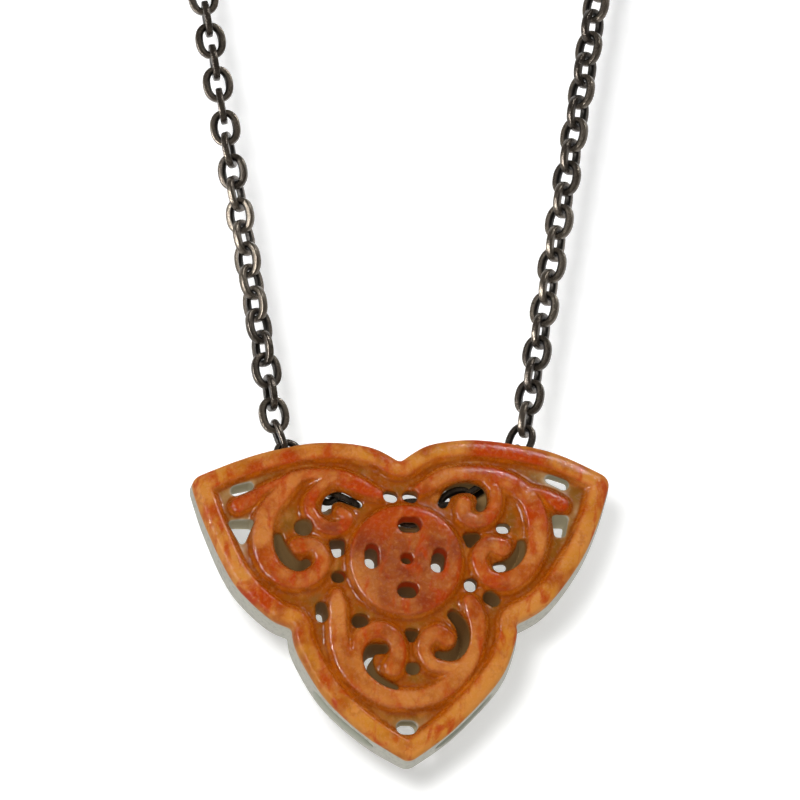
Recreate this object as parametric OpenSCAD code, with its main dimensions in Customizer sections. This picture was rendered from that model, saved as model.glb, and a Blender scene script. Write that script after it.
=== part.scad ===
// A carved jade slide pendant threaded on a closed cable chain, in millimetres.
// The chain hangs in the XZ plane, the carved front looks towards -Y, and the
// origin is under the clasp, where the loop hangs over the nape or a peg.

/* [Stone] */
// Thickness of the stone at its middle
stone_t = 6.9; // [6.6:0.1:7.4]
// Distance from the chain's plane back to the stone's flat back
back_y = 2.6; // [2.5:0.1:3]
// Radius of the domed front
dome_r = 80; // [70:5:110]
// Depth of the carved ground below the raised work
relief = 0.9; // [0.5:0.1:1]
// Width of the raised rim
rim_w = 1.5; // [1.2:0.1:1.7]
// Radius of the raised disc in the middle
disc_r = 5.7; // [5.2:0.1:5.8]
// Roundness of the three petal points
point_r = 1.1; // [0.6:0.1:1.4]

/* [Bore for the chain] */
// Diameter of the bore
bore_d = 3.7; // [3.6:0.05:3.8]
// Radius of the arc that the bore follows
bore_arc_r = 13.7; // [13.4:0.1:14.2]
// Angle from the lowest point to each mouth of the arc
bore_half_angle = 54; // [53:1:57]
// Height of the bore's lowest point above the disc's centre
bore_low = 5.7; // [5.6:0.1:6]
// Half of the angle over which the bore is open at the back
window_half_angle = 36; // [30:1:40]

/* [Slot in the lower petal] */
// Height of the slot
slot_h = 5.4; // [4.5:0.1:5.6]
// Depth of the slot from front to back
slot_t = 2; // [1.4:0.1:2.1]
// Thickness of the wall behind the slot
slot_wall = 0.9; // [0.8:0.1:1.4]
// Depth of the slot's middle below the disc's centre
slot_drop = 15.4; // [15:0.1:15.6]

/* [Chain] */
// Outer length of a link
link_l = 3.83; // [3.79:0.01:3.86]
// Outer width of a link
link_w = 3.05; // [3:0.01:3.1]
// Thickness of the wire
wire_d = 0.67; // [0.64:0.01:0.69]
// Free play between two links
play = 0.14; // [0.13:0.01:0.15]
// Number of links on each side of the loop's lowest point, odd so that the clasp lies flat
side_links = 95; // [85:2:99]
// Lean of each hanging side away from the vertical, in degrees
lean = 9.6; // [8:0.2:11]
// Radius of the bend where the chain leaves the stone
mouth_bend_r = 9; // [9:0.5:12]

/* [Clasp] */
// Length of the clasp
clasp_l = 11; // [10:0.5:13]
// Width of the clasp
clasp_w = 4.8; // [4.6:0.1:5.4]
// Thickness of the clasp's rim
clasp_d = 1.1; // [0.9:0.05:1.15]
// Length of the plate between the clasp's two eyes
clasp_plate_l = 4; // [3:0.5:4.5]
// Thickness of that plate
clasp_plate_t = 0.8; // [0.6:0.1:1]

/* [Hidden] */

// Number of flats round the dome, round the arcs of bore and links, and round drills, wires and corners
dome_fn = 200;
arc_fn = 180;
bend_fn = 48;
drill_fn = 48;
wire_fn = 36;
corner_fn = 20;

// Overlap of a cut past the surface that it opens
past = 1;

// The outline of the stone seen from the front, about the disc's centre.
// columns: x, z, point (1 where two sides meet in a point or a notch)
outline_rows = [
    [-21.3, 8.8, 1],
    [-17.2, 10.4, 0],
    [-13.5, 11.4, 0],
    [-8.5, 12.2, 0],
    [-3.6, 11.6, 0],
    [-0.5, 10.0, 1],
    [2.1, 11.7, 0],
    [5.2, 12.35, 0],
    [8.2, 12.35, 0],
    [12.8, 11.7, 0],
    [16.0, 10.65, 0],
    [20.55, 8.8, 1],
    [19.3, 4.75, 0],
    [17.45, 0.25, 0],
    [14.0, -3.8, 0],
    [11.0, -5.85, 1],
    [11.0, -7.6, 0],
    [9.5, -11.7, 0],
    [5.05, -16.75, 0],
    [0.6, -19.9, 1],
    [-3.6, -17.4, 0],
    [-7.7, -13.6, 0],
    [-10.4, -9.05, 0],
    [-11.0, -6.75, 1],
    [-13.5, -5.5, 0],
    [-16.9, -1.85, 0],
    [-19.6, 3.85, 0]
];

// The raised scrolls, each a band that follows its rows.
// columns: x, z, width
left_top_band = [
    [-16.7, 5.8, 1.6],
    [-15.4, 6.4, 1.4],
    [-14.2, 7.4, 0.9],
    [-12.7, 8.1, 0.8],
    [-10.9, 8.6, 1.2],
    [-9.0, 8.7, 1.6],
    [-7.0, 8.5, 1.8],
    [-5.3, 8.0, 1.8],
    [-3.7, 7.2, 1.5],
    [-2.5, 6.7, 1.0]
];
left_large_scroll = [
    [-11.2, 8.3, 1.4],
    [-12.6, 6.7, 1.8],
    [-13.9, 4.9, 2.1],
    [-14.3, 2.7, 2.2],
    [-14.1, 0.7, 2.2],
    [-13.2, -1.0, 2.0],
    [-11.5, -2.0, 1.9],
    [-9.7, -1.9, 1.8],
    [-8.5, -0.8, 1.6],
    [-8.4, 0.5, 1.5],
    [-9.3, 1.5, 1.5],
    [-10.8, 1.4, 1.7]
];
left_small_scroll = [
    [-9.0, 7.9, 1.2],
    [-9.6, 6.6, 1.2],
    [-9.6, 5.2, 1.3],
    [-8.9, 4.0, 1.4],
    [-7.7, 3.2, 1.5],
    [-6.4, 3.4, 1.4],
    [-5.8, 4.3, 1.2],
    [-6.5, 4.9, 1.1]
];
right_top_band = [
    [1.4, 7.3, 1.2],
    [2.6, 8.0, 1.6],
    [4.1, 8.9, 1.6],
    [6.0, 9.2, 1.6],
    [7.8, 9.2, 1.7],
    [9.5, 8.9, 1.8],
    [11.2, 8.1, 1.9],
    [12.6, 6.7, 2.1],
    [13.3, 4.9, 2.2],
    [13.4, 2.8, 2.1],
    [13.0, 1.0, 2.0],
    [12.0, -0.6, 2.0],
    [10.3, -1.9, 2.0],
    [8.5, -1.7, 1.8],
    [7.5, -0.4, 1.6],
    [7.5, 0.9, 1.6],
    [8.4, 1.9, 1.7],
    [9.7, 1.6, 2.0]
];
right_leaf = [
    [15.8, 6.4, 1.7],
    [14.8, 7.1, 1.3],
    [13.8, 7.6, 0.8],
    [12.3, 7.8, 0.8]
];
right_small_scroll = [
    [8.4, 8.5, 1.2],
    [9.1, 7.5, 1.3],
    [9.1, 6.0, 1.4],
    [8.4, 4.8, 1.5],
    [7.1, 4.2, 1.6],
    [5.9, 4.8, 1.7],
    [5.9, 6.0, 1.6]
];
lower_bow = [
    [-7.0, -3.3, 0.8],
    [-6.9, -4.7, 1.7],
    [-6.8, -6.6, 1.9],
    [-6.6, -8.6, 2.0],
    [-5.7, -10.7, 2.2],
    [-4.2, -12.4, 2.2],
    [-2.1, -13.7, 2.0],
    [0.3, -14.0, 1.9],
    [2.9, -13.5, 1.9],
    [5.1, -11.9, 1.9],
    [6.6, -9.7, 1.8],
    [7.2, -7.3, 1.8],
    [7.0, -5.3, 1.9],
    [6.5, -4.1, 1.5]
];
lower_left_scroll = [
    [-5.0, -10.5, 1.6],
    [-4.8, -8.9, 1.6],
    [-4.0, -7.6, 1.7],
    [-2.5, -7.1, 1.7],
    [-1.2, -7.9, 1.7],
    [-0.7, -9.4, 1.7],
    [-1.2, -10.8, 2.0]
];
lower_right_scroll = [
    [5.7, -10.8, 1.4],
    [4.3, -10.8, 1.4],
    [2.8, -10.5, 1.5],
    [1.9, -9.4, 1.5],
    [2.1, -8.1, 1.6],
    [3.2, -7.3, 1.7],
    [4.2, -7.9, 1.7]
];
SCROLLS = [left_top_band, left_large_scroll, left_small_scroll, right_top_band, right_leaf,
    right_small_scroll, lower_bow, lower_left_scroll, lower_right_scroll];

// Long piercings, each a curved slot that follows its rows.
// columns: x, z, width
PIERCED_SLOTS = [
    [[-12.8, 2.8, 0.7], [-12.5, 1.4, 1.0], [-11.7, 0.2, 1.0], [-10.6, -0.5, 0.9], [-9.8, 0.1, 0.7]],
    [[-7.7, 4.8, 0.9], [-7.5, 5.7, 0.9], [-6.6, 6.1, 0.9], [-5.4, 5.7, 0.8], [-4.5, 5.3, 0.8]],
    [[-16.9, 7.6, 1.2], [-15.6, 8.0, 0.9]],
    [[3.8, 6.1, 1.0], [4.3, 7.1, 1.0], [5.3, 7.7, 1.0], [6.5, 7.8, 1.0], [7.5, 7.4, 1.1],
        [7.8, 6.5, 1.0], [7.6, 5.8, 0.9]],
    [[11.8, 2.7, 0.9], [11.6, 1.4, 1.1], [10.7, 0.1, 1.1], [9.4, -0.4, 0.8]],
    [[14.7, 8.7, 0.9], [16.0, 8.5, 1.2]],
    [[-2.1, -8.9, 0.8], [-3.3, -9.0, 0.9], [-3.7, -10.0, 0.9], [-3.2, -11.3, 0.8],
        [-2.1, -12.2, 0.7], [-0.9, -12.7, 0.6]],
    [[4.8, -5.3, 1.0], [5.6, -6.3, 1.1], [5.9, -7.6, 1.1], [5.5, -8.9, 1.1], [4.5, -9.5, 0.9],
        [3.4, -9.4, 0.8]],
    [[-8.4, -4.7, 1.1], [-8.3, -5.6, 1.2]]
];

// Short straight piercings, cut as a round-ended slot.
// columns: x, z, length, width, turn in degrees
PIERCED_OVALS = [
    [-10.2, 3.5, 1.7, 1.5, -20],
    [-6.7, -1.6, 1.3, 1.1, 0],
    [-4.5, -6.1, 1.6, 1.3, 0],
    [-1.5, 6.7, 1.4, 1.1, -20],
    [0.5, 6.7, 1.4, 1.1, -10],
    [9.8, 3.4, 1.4, 1.0, 0],
    [6.5, -2.5, 1.4, 1.3, 90],
    [8.7, -3.6, 1.8, 1.2, -30],
    [0.8, -10.8, 1.3, 1.1, 0],
    [0.4, 3.6, 2.4, 1.6, 0],
    [0.2, -3.1, 2.1, 1.6, 0],
    [-3.4, 0.3, 2.5, 1.4, 90],
    [3.3, 0.0, 2.5, 1.4, 80],
    [0.1, 0.1, 1.2, 1.1, 0]
];

// Three-cornered and four-cornered piercings, given by their corners [x, z]
PIERCED_CORNERS = [
    [[-17.9, 4.5], [-15.2, 4.5], [-16.4, 1.9]],
    [[-7.8, 2.0], [-6.0, 2.2], [-6.1, 0.6], [-7.1, 0.1]],
    [[14.9, 5.6], [16.7, 5.6], [16.3, 3.6], [15.2, 3.5]],
    [[5.8, 3.2], [7.8, 3.2], [6.4, 1.7]],
    [[-0.2, -6.8], [1.6, -6.9], [0.6, -8.6]],
    [[-1.2, -16.0], [1.8, -16.0], [0.4, -17.5]]
];
// Roundness of their corners
corner_r = 0.35;

// Half width of the narrowest cleft that the carver's tool reaches
tool_r = 0.15;

// How far the bore is carried on past each mouth, in degrees
bore_past = 6;

// How far the back window reaches above the bore, and what it leaves of the bore's lower wall
window_above = 1;
window_below = 0.15;

// Depth of the planes that bound the stone
front_y = back_y - stone_t;
dome_y = front_y + dome_r;

// The chain's line from its lowest point, worked out from the sizes above
pitch = link_l - 2 * wire_d - play;
clasp_step = (clasp_l + link_l) / 2 - clasp_d - wire_d - play;
half_loop = (side_links - 0.5) * pitch + clasp_step;
hang_angle = 90 - lean;
bore_s = bore_arc_r * bore_half_angle * PI / 180;
bend_s = bore_s + mouth_bend_r * (hang_angle - bore_half_angle) * PI / 180;
bend_x = bore_arc_r * sin(bore_half_angle) + mouth_bend_r * (sin(hang_angle) - sin(bore_half_angle));
bend_z = bore_arc_r * (1 - cos(bore_half_angle))
    + mouth_bend_r * (cos(bore_half_angle) - cos(hang_angle));
top_turn = (180 - hang_angle) * PI / 180;
side_l = (half_loop - bend_s - top_turn * bend_x / cos(lean)) / (1 + top_turn * tan(lean));
side_s = bend_s + side_l;
top_arc_r = (bend_x + side_l * sin(lean)) / cos(lean);
loop_h = bend_z + side_l * cos(lean) + top_arc_r * (1 + sin(lean));

// The stiff clasp is a chord of the loop's round top, so its middle lies a little under the chain's line
clasp_drop = pow((clasp_l - clasp_d) / 2, 2) / (2 * top_arc_r);

// Heights in the frame whose origin is under the clasp
low_z = clasp_d / 2 + clasp_drop - loop_h;
disc_z = low_z - bore_low;

// The stone's middle lies a little to the right of the chain's
disc_x = 0.3;

// Links of each side that lie inside the stone and swing with it
inner_links = 7;

// The twist of each hanging side, which turns the front of its links towards the other side.
// columns: distance along the chain, turn in degrees
left_twist = [[12, 0], [22.5, 16], [25, 33], [34, 47], [44, 66], [53, 90]];
right_twist = [[4, 0], [15, 18], [22, 28], [44, 34], [53, 42], [75, 42], [125, 0]];

function unit(v) = v / norm(v);
function reversed(list) = [for (i = [len(list) - 1 : -1 : 0]) list[i]];

// A point on the smooth curve from b to c, with a before b and d after c
function between(a, b, c, d, t) =
    0.5 * (2 * b + (c - a) * t + (2 * a - 5 * b + 4 * c - d) * t * t + (3 * b - a - 3 * c + d) * t * t * t);

// The rows of an open table, with smooth rows filled in between them
function filled(rows, steps) = let (last = len(rows) - 1) [
    for (i = [0 : last - 1], k = [0 : steps - 1])
        between(rows[max(i - 1, 0)], rows[i], rows[i + 1], rows[min(i + 2, last)], k / steps),
    rows[last]
];

// The closed outline, smooth but for the rows that are points
function outline_points(steps) = let (n = len(outline_rows)) [
    for (i = [0 : n - 1], k = [0 : steps - 1])
        let (here = outline_rows[i], next = outline_rows[(i + 1) % n])
        let (before = here.z == 1 ? here : outline_rows[(i + n - 1) % n])
        let (after = next.z == 1 ? next : outline_rows[(i + 2) % n])
        let (p = between(before, here, next, after, k / steps))
        [p.x, p.y]
];

// One edge of a band along a path of [x, z, width]
function band_edge(path, side) = let (last = len(path) - 1) [
    for (i = [0 : last])
        let (a = path[max(i - 1, 0)], b = path[min(i + 1, last)])
        let (along = unit([b.x - a.x, b.y - a.y]))
        [path[i].x - side * along.y * path[i].z / 2, path[i].y + side * along.x * path[i].z / 2]
];

// Points of a round end, swept half round its row
function round_end(row, along, steps) = let (start = atan2(along.y, along.x) + 90) [
    for (k = [1 : steps - 1]) let (a = start - 180 * k / steps) [row.x, row.y] + row.z / 2 * [cos(a), sin(a)]
];

// A band or slot with round ends, smooth between its rows
module band(rows, steps, end_steps) {
    path = filled(rows, steps);
    last = len(path) - 1;
    end_way = [path[last].x - path[last - 1].x, path[last].y - path[last - 1].y];
    start_way = [path[0].x - path[1].x, path[0].y - path[1].y];
    polygon(concat(
        band_edge(path, 1),
        round_end(path[last], end_way, end_steps),
        reversed(band_edge(path, -1)),
        round_end(path[0], start_way, end_steps)
    ));
}

module oval(row) {
    reach = (row[2] - row[3]) / 2;
    band([
        [row[0] - reach * cos(row[4]), row[1] - reach * sin(row[4]), row[3]],
        [row[0] + reach * cos(row[4]), row[1] + reach * sin(row[4]), row[3]]
    ], 1, 6);
}

module outline() {
    offset(r = point_r, $fn = corner_fn) offset(delta = -point_r) polygon(outline_points(3));
}

// The carved ground seen from the front: what is left inside the rim between disc and scrolls,
// without the clefts that are too narrow for the carver's tool
module ground_plan() {
    offset(delta = tool_r) offset(delta = -tool_r) difference() {
        offset(delta = -rim_w) outline();
        circle(r = disc_r, $fn = arc_fn / 3);
        for (rows = SCROLLS) band(rows, 2, 4);
    }
}

// A plan seen from the front, carried from one depth to another
module through(from_y, to_y) {
    translate([0, to_y, 0]) rotate([90, 0, 0]) linear_extrude(to_y - from_y) children();
}

module dome(drop) {
    translate([0, dome_y, 0]) sphere(r = dome_r - drop, $fn = dome_fn);
}

// The arc-shaped bore, carried a little past both mouths
module chain_bore() {
    arc_z = bore_low + bore_arc_r;
    mouth_angle = bore_half_angle + bore_past;
    translate([-disc_x, 0, arc_z]) rotate([90, 0, 0])
        rotate([0, 0, -90 - mouth_angle]) rotate_extrude(angle = 2 * mouth_angle, $fn = arc_fn)
            translate([bore_arc_r, 0]) circle(d = bore_d, $fn = drill_fn);
}

// The window that opens the middle of the bore at the back, wider towards the top
module back_window() {
    arc_z = bore_low + bore_arc_r;
    inner_r = bore_arc_r - bore_d / 2 - window_above;
    outer_r = bore_arc_r + bore_d / 2 - window_below;
    angles = [for (k = [-6 : 6]) -90 + k * window_half_angle / 6];
    through(0, back_y + past) translate([-disc_x, arc_z]) polygon(concat(
        [for (a = angles) inner_r * [cos(a), sin(a)]],
        [for (a = reversed(angles)) outer_r * [cos(a), sin(a)]]
    ));
}

// The flat slot from side to side through the lower petal
module petal_slot() {
    slot_y = back_y - slot_wall - slot_t / 2;
    reach = (slot_h - slot_t) / 2;
    translate([-slot_drop, slot_y, -slot_drop]) rotate([90, 0, 90]) linear_extrude(2 * slot_drop) {
        square([slot_t, 2 * reach], center = true);
        for (end = [-1, 1]) translate([0, end * reach]) circle(d = slot_t, $fn = drill_fn);
    }
}

// The hollow between rim, disc and scrolls, down to a ground that follows the dome
module carved_ground() {
    difference() {
        through(front_y - past, 0) ground_plan();
        dome(relief);
    }
}

// What is cut right through, from front to back
module piercings() {
    for (rows = PIERCED_SLOTS) through(front_y - past, back_y + past) band(rows, 2, 4);
    for (row = PIERCED_OVALS) through(front_y - past, back_y + past) oval(row);
    for (corners = PIERCED_CORNERS) through(front_y - past, back_y + past)
        offset(r = corner_r, $fn = corner_fn) offset(delta = -corner_r) polygon(corners);
}

module jade_pendant() {
    color("#b8602c") translate([disc_x, 0, disc_z]) difference() {
        intersection() {
            through(front_y - past, back_y) outline();
            dome(0);
        }
        carved_ground();
        piercings();
        chain_bore();
        back_window();
        petal_slot();
    }
}

// A link in its own XY plane, its length along X
module oval_link(l, w, d) {
    bend = (w - d) / 2;
    reach = (l - w) / 2;
    translate([reach, 0, 0]) rotate([0, 0, -90]) rotate_extrude(angle = 180, $fn = bend_fn)
        translate([bend, 0]) circle(d = d, $fn = wire_fn);
    translate([-reach, 0, 0]) rotate([0, 0, 90]) rotate_extrude(angle = 180, $fn = bend_fn)
        translate([bend, 0]) circle(d = d, $fn = wire_fn);
    translate([-reach, bend, 0]) rotate([0, 90, 0]) cylinder(d = d, h = 2 * reach, $fn = wire_fn);
    translate([-reach, -bend, 0]) rotate([0, 90, 0]) cylinder(d = d, h = 2 * reach, $fn = wire_fn);
}

// The chain's line at distance s from its lowest point, as [x, z, heading in degrees]
function bore_line(s) = let (a = s / bore_arc_r * 180 / PI)
    [bore_arc_r * sin(a), bore_arc_r * (1 - cos(a)), a];
function bend_line(s) = let (a = bore_half_angle + (s - bore_s) / mouth_bend_r * 180 / PI) [
    bend_x - mouth_bend_r * (sin(hang_angle) - sin(a)),
    bend_z - mouth_bend_r * (cos(a) - cos(hang_angle)),
    a
];
function side_line(s) =
    [bend_x + (s - bend_s) * sin(lean), bend_z + (s - bend_s) * cos(lean), hang_angle];
function top_line(s) = let (a = hang_angle + (s - side_s) / top_arc_r * 180 / PI)
    [top_arc_r * sin(a), loop_h - top_arc_r * (1 + cos(a)), a];
function chain_line(s) =
    s < bore_s ? bore_line(s) : s < bend_s ? bend_line(s) : s < side_s ? side_line(s) : top_line(s);

// Link number k of one side, counted from the lowest point; side is -1 for left, 1 for right
module chain_link(k, side) {
    s = (k + 0.5) * pitch;
    at = chain_line(s);
    turn = side > 0 ? 90 * k - lookup(s, right_twist) : 90 * (k + 1) - lookup(s, left_twist);
    translate([side * at.x, 0, low_z + at.y]) rotate([90 + turn, -side * at.z, 0])
        oval_link(link_l, link_w, wire_d);
}

module chain_in_pendant() {
    color("#4a4640") for (side = [-1, 1], k = [0 : inner_links - 1]) chain_link(k, side);
}

module chain_side(side) {
    color("#4a4640") for (k = [inner_links : side_links - 1]) chain_link(k, side);
}

// The clasp at the nape lies flat: a closed rim with a plate across it that leaves an eye at each end
module clasp() {
    color("#4a4640") translate([0, 0, clasp_d / 2]) {
        oval_link(clasp_l, clasp_w, clasp_d);
        cube([clasp_plate_l, clasp_w - clasp_d, clasp_plate_t], center = true);
    }
}

jade_pendant();
chain_in_pendant();
chain_side(-1);  // chain_left
chain_side(1);  // chain_right
clasp();
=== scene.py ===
# %% [markdown]
# # A carved jade slide pendant on its cable chain
#
# This lesson dresses a finished construction. The stone, the chain and the clasp already exist as
# plain solids with true sizes. Here each of them gets its looks: softened edges, a polish, the
# russet skin of the jade over its pale inside, and dark metal that is rubbed on its flat faces.
# All shapes are worked out in millimetres and become metres only when a mesh is made.

# %% The frame
from math import acos, cos, pi, radians, sin, sqrt, tan
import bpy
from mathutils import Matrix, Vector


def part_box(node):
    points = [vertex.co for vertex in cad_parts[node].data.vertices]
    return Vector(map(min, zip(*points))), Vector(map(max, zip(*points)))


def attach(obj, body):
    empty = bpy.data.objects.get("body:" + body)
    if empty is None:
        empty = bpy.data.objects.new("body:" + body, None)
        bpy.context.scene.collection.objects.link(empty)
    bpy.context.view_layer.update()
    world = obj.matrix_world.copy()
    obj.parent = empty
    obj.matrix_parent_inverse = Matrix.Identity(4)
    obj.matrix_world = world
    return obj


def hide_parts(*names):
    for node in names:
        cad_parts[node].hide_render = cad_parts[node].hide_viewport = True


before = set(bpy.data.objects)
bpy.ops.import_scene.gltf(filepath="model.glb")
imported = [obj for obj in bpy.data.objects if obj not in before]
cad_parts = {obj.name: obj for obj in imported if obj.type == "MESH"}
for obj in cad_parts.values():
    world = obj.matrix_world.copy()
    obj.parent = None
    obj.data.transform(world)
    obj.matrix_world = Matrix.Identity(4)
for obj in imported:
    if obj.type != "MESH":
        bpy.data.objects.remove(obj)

from types import SimpleNamespace

import bpy
import numpy as np

scene = bpy.context.scene
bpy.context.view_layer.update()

# %% [markdown]
# ## Sizes
#
# Everything hangs on a few measures. The stone's depth and the place of its middle come from the
# construction's own box, so the dressed stone can't drift away from it. The rest are the
# carver's sizes: the radius of the domed front, the depth of the carving, the width of the rim.

# %% Sizes of the stone in millimetres
MM = 0.001
stone_low, stone_high = (np.array(corner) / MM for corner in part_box("jade_pendant"))
FRONT_Y, BACK_Y = stone_low[1], stone_high[1]
# the disc's centre, beside the middle and below the top
DISC_X, TOP_ABOVE_DISC = 0.3, 12.42
DOME_R = 80.0
RELIEF = 0.9
RIM_W = 1.7
DISC_R = 5.7
POINT_R = 1.1
NOTCH_R = 0.8

# %% [markdown]
# ## The carver's drawing
#
# A carver starts from a drawing glued to the slab: the outline, the raised scrolls, and a mark
# for each place that is drilled through. The same drawing is kept here as short tables about the
# disc's centre. Bands have a width in each row because a carved scroll swells and thins like a
# brush stroke. A spline smooths each table, so few rows are enough.

# %% The outline of the three petals
# columns: x, z, corner (0 smooth, 1 petal point, 2 notch); starts at a corner
OUTLINE = [
    (-21.25, 8.6, 1), (-17.2, 10.2, 0), (-13.5, 11.35, 0), (-8.5, 12.2, 0), (-3.6, 11.75, 0),
    (-0.5, 10.15, 2), (2.1, 11.9, 0), (5.2, 12.6, 0), (8.2, 12.7, 0), (12.8, 12.2, 0),
    (16.2, 11.35, 0), (20.75, 9.4, 1), (19.4, 4.75, 0), (17.4, 0.35, 0), (14.2, -3.95, 0),
    (11.0, -5.95, 2), (11.05, -7.6, 0), (9.4, -11.65, 0), (4.85, -16.65, 0), (0.5, -19.85, 1),
    (-3.7, -17.4, 0), (-7.85, -13.65, 0), (-10.6, -9.1, 0), (-11.15, -6.65, 2), (-13.6, -5.5, 0),
    (-17.05, -1.9, 0), (-19.7, 3.8, 0),
]

# %% The raised scrolls
# columns: x, z, width
SCROLLS = {
    "left_top_band": [
        (-16.7, 5.8, 1.6), (-15.4, 6.4, 1.4), (-14.2, 7.4, 0.9), (-12.7, 8.1, 0.8),
        (-10.9, 8.7, 1.2), (-9.0, 8.95, 1.15), (-7.0, 8.6, 1.7), (-5.3, 8.0, 1.8),
        (-3.7, 7.2, 1.5), (-2.5, 6.7, 1.0),
    ],
    "left_large_scroll": [
        (-11.1, 8.4, 1.5), (-12.5, 6.8, 1.8), (-13.9, 4.9, 2.1), (-14.3, 2.7, 2.2),
        (-14.1, 0.7, 2.2), (-13.2, -1.0, 2.0), (-11.5, -2.0, 1.9), (-9.7, -1.9, 1.8),
        (-8.5, -0.8, 1.6), (-8.4, 0.5, 1.5), (-9.3, 1.5, 1.5), (-10.8, 1.4, 1.7),
    ],
    "left_small_scroll": [
        (-7.6, 8.4, 1.2), (-8.7, 7.4, 1.2), (-9.5, 6.3, 1.25), (-9.6, 5.2, 1.3), (-8.9, 4.0, 1.4),
        (-7.7, 3.2, 1.5), (-6.4, 3.4, 1.4), (-5.8, 4.3, 1.2), (-6.5, 4.9, 1.1),
    ],
    "right_top_band": [
        (1.4, 7.3, 1.2), (2.6, 8.0, 1.6), (4.1, 8.9, 1.6), (6.0, 9.2, 1.6), (7.8, 9.2, 1.7),
        (9.5, 8.9, 1.8), (11.2, 8.1, 1.9), (12.6, 6.7, 2.1), (13.3, 4.9, 2.2), (13.4, 2.8, 2.1),
        (13.0, 1.0, 2.0), (12.0, -0.6, 2.0), (10.3, -1.9, 2.0), (8.5, -1.7, 1.8),
        (7.5, -0.4, 1.6), (7.5, 0.9, 1.6), (8.4, 1.9, 1.7), (9.7, 1.6, 2.0),
    ],
    "right_leaf": [(15.8, 6.4, 1.7), (14.8, 7.1, 1.3), (13.8, 7.6, 0.8), (12.3, 7.8, 0.8)],
    "right_small_scroll": [
        (8.4, 8.5, 1.2), (9.1, 7.5, 1.3), (9.1, 6.0, 1.4), (8.4, 4.8, 1.5), (7.1, 4.2, 1.6),
        (5.9, 4.8, 1.7), (5.9, 6.0, 1.6),
    ],
    "lower_bow": [
        (-6.9, -3.5, 1.1), (-6.8, -4.7, 1.8), (-6.8, -6.6, 1.9), (-6.6, -8.6, 2.0),
        (-5.7, -10.7, 2.2), (-4.2, -12.4, 2.2), (-2.1, -13.7, 2.0), (0.3, -14.0, 1.9),
        (2.9, -13.5, 1.9), (5.1, -11.9, 1.9), (6.6, -9.7, 1.8), (7.2, -7.3, 1.8),
        (7.0, -5.3, 1.9), (6.5, -4.1, 1.5),
    ],
    "lower_left_scroll": [
        (-4.7, -10.9, 1.5), (-4.75, -9.1, 1.5), (-4.0, -7.6, 1.7), (-2.5, -7.1, 1.7),
        (-1.2, -7.9, 1.7), (-0.7, -9.4, 1.7), (-1.2, -10.8, 2.0),
    ],
    "lower_right_scroll": [
        (5.7, -10.8, 1.4), (4.3, -10.8, 1.4), (2.8, -10.5, 1.5), (1.9, -9.4, 1.5),
        (2.1, -8.1, 1.6), (3.2, -7.3, 1.7), (4.2, -7.9, 1.7),
    ],
}

# %% [markdown]
# The holes were sawn by hand, so no two are alike. Each has a taper, by which its half width
# shrinks for each millimetre of depth, and a lean: how far it moves to the right and up
# meanwhile. Where it leans along the line of sight, light shows in it, and else its far wall.

# %% The places that are cut through
LEVEL, HALF_ASLANT, ASLANT = (0, 0), (0.025, 0.085), (0.05, 0.17)
UPWARD, STEEP, DOWNWARD = (0.03, 0.14), (-0.01, 0.3), (-0.02, -0.07)
# columns: taper, lean, rows of x, z and width
PIERCED_SLOTS = [
    (0.12, LEVEL, [(-12.7, 2.5, 0.9), (-12.4, 1.3, 1.25), (-11.7, 0.2, 1.25), (-10.7, -0.5, 1.1),
     (-9.9, -0.2, 0.9)]),
    (0.0, STEEP, [(-7.85, 4.8, 1.0), (-7.6, 5.7, 1.0), (-6.6, 6.15, 1.0), (-5.4, 5.7, 0.8),
     (-4.6, 5.35, 0.7)]),
    (0.01, LEVEL, [(-16.9, 7.5, 1.1), (-15.6, 7.9, 0.9)]),
    (0.14, LEVEL, [(11.75, 2.2, 0.9), (11.6, 1.3, 1.1), (10.8, 0.15, 1.2), (9.5, -0.4, 1.0)]),
    (0.01, UPWARD, [(14.65, 8.75, 0.9), (16.05, 8.2, 1.1)]),
    (0.07, LEVEL, [(-2.1, -8.9, 0.9), (-3.3, -9.0, 1.1), (-3.7, -10.0, 1.0), (-3.2, -11.3, 0.8),
     (-2.1, -12.2, 0.7), (-0.9, -12.7, 0.6)]),
    (0.13, LEVEL, [(4.8, -5.3, 1.1), (5.6, -6.3, 1.2), (5.9, -7.6, 1.2), (5.5, -8.9, 1.2),
     (4.5, -9.5, 1.0), (3.4, -9.4, 0.8)]),
    (0.04, LEVEL, [(-8.4, -4.7, 1.1), (-8.3, -5.6, 1.2)]),
]
# columns: x, z, length, width, turn in degrees, taper, lean
PIERCED_OVALS = [
    (-10.2, 3.5, 1.8, 1.6, -20, 0.12, LEVEL), (-6.7, -1.6, 1.4, 1.2, 0, 0.1, LEVEL),
    (-4.5, -6.1, 1.7, 1.4, 0, 0.1, LEVEL), (8.7, -3.6, 1.8, 1.3, -30, 0.1, LEVEL),
    (0.8, -10.8, 1.4, 1.2, 0, 0.1, LEVEL), (0.4, 3.6, 2.4, 1.6, 0, 0.09, LEVEL),
    (0.2, -3.1, 2.1, 1.6, 0, 0.09, LEVEL), (-3.4, 0.3, 2.5, 1.4, 90, 0.015, LEVEL),
    (3.3, 0.0, 2.5, 1.4, 80, 0.03, LEVEL), (0.1, 0.1, 1.2, 1.1, 0, 0.09, LEVEL),
    (0.2, -16.85, 2.1, 1.4, 0, 0.02, HALF_ASLANT), (9.5, -0.5, 1.5, 0.8, 10, 0, ASLANT),
    (9.8, 3.4, 1.4, 1.0, 0, 0, ASLANT), (6.5, -2.5, 1.4, 1.3, 90, 0, ASLANT),
]
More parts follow.
